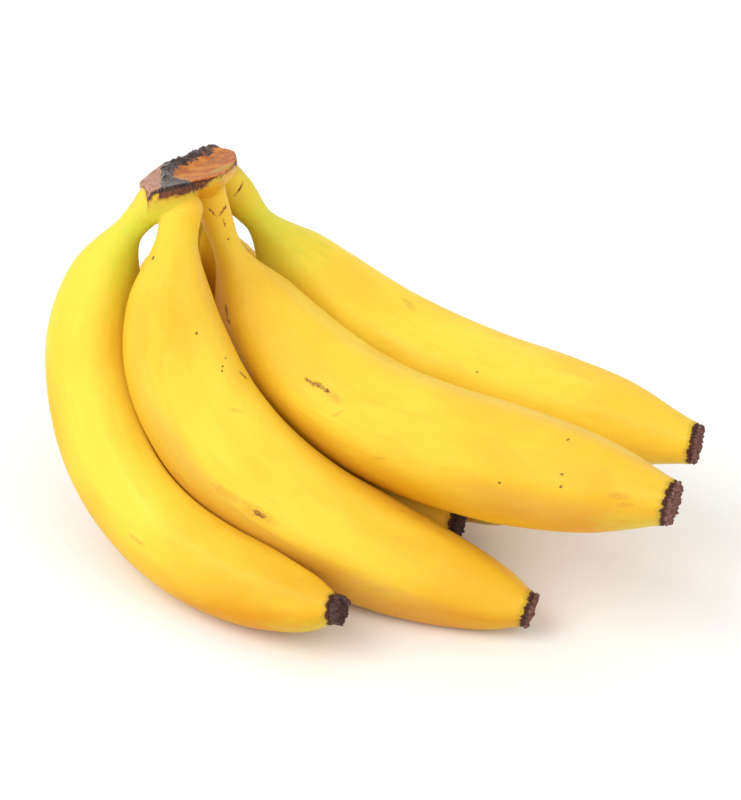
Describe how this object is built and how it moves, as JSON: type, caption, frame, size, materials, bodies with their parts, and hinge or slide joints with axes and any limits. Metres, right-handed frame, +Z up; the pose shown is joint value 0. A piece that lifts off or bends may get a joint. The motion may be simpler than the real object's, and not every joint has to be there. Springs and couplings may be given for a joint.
{
  "type": "bunch of bananas",
  "caption": "Hand of ripe yellow bananas joined at a cut brown crown, standing on its fruits with the crown raised.",
  "frame": {"origin": "on the table, under the middle of the bunch's box", "axes": "+Z up from the table; +X to the right, the way the fruits' ends point, and the longest way; +Y away from the front fruit"},
  "size_m": [0.2076, 0.1621, 0.1242],
  "materials": {
    "peel": "smooth waxy yellow peel, greenish at the necks, with small brown scars",
    "crown": "cut and dried plant fibre, orange-tan inside a dark brown rim",
    "flower_end": "rough dry dark brown fibre"
  },
  "bodies": {
    "root": {"crown": "crown", "banana_left": "peel", "banana_front": "peel", "banana_middle": "peel", "banana_right": "peel", "banana_under_front": "peel", "banana_under_right": "peel", "flower_end_left": "flower_end", "flower_end_front": "flower_end", "flower_end_middle": "flower_end", "flower_end_right": "flower_end", "flower_end_under_front": "flower_end", "flower_end_under_right": "flower_end"}
  },
  "joints": []
}
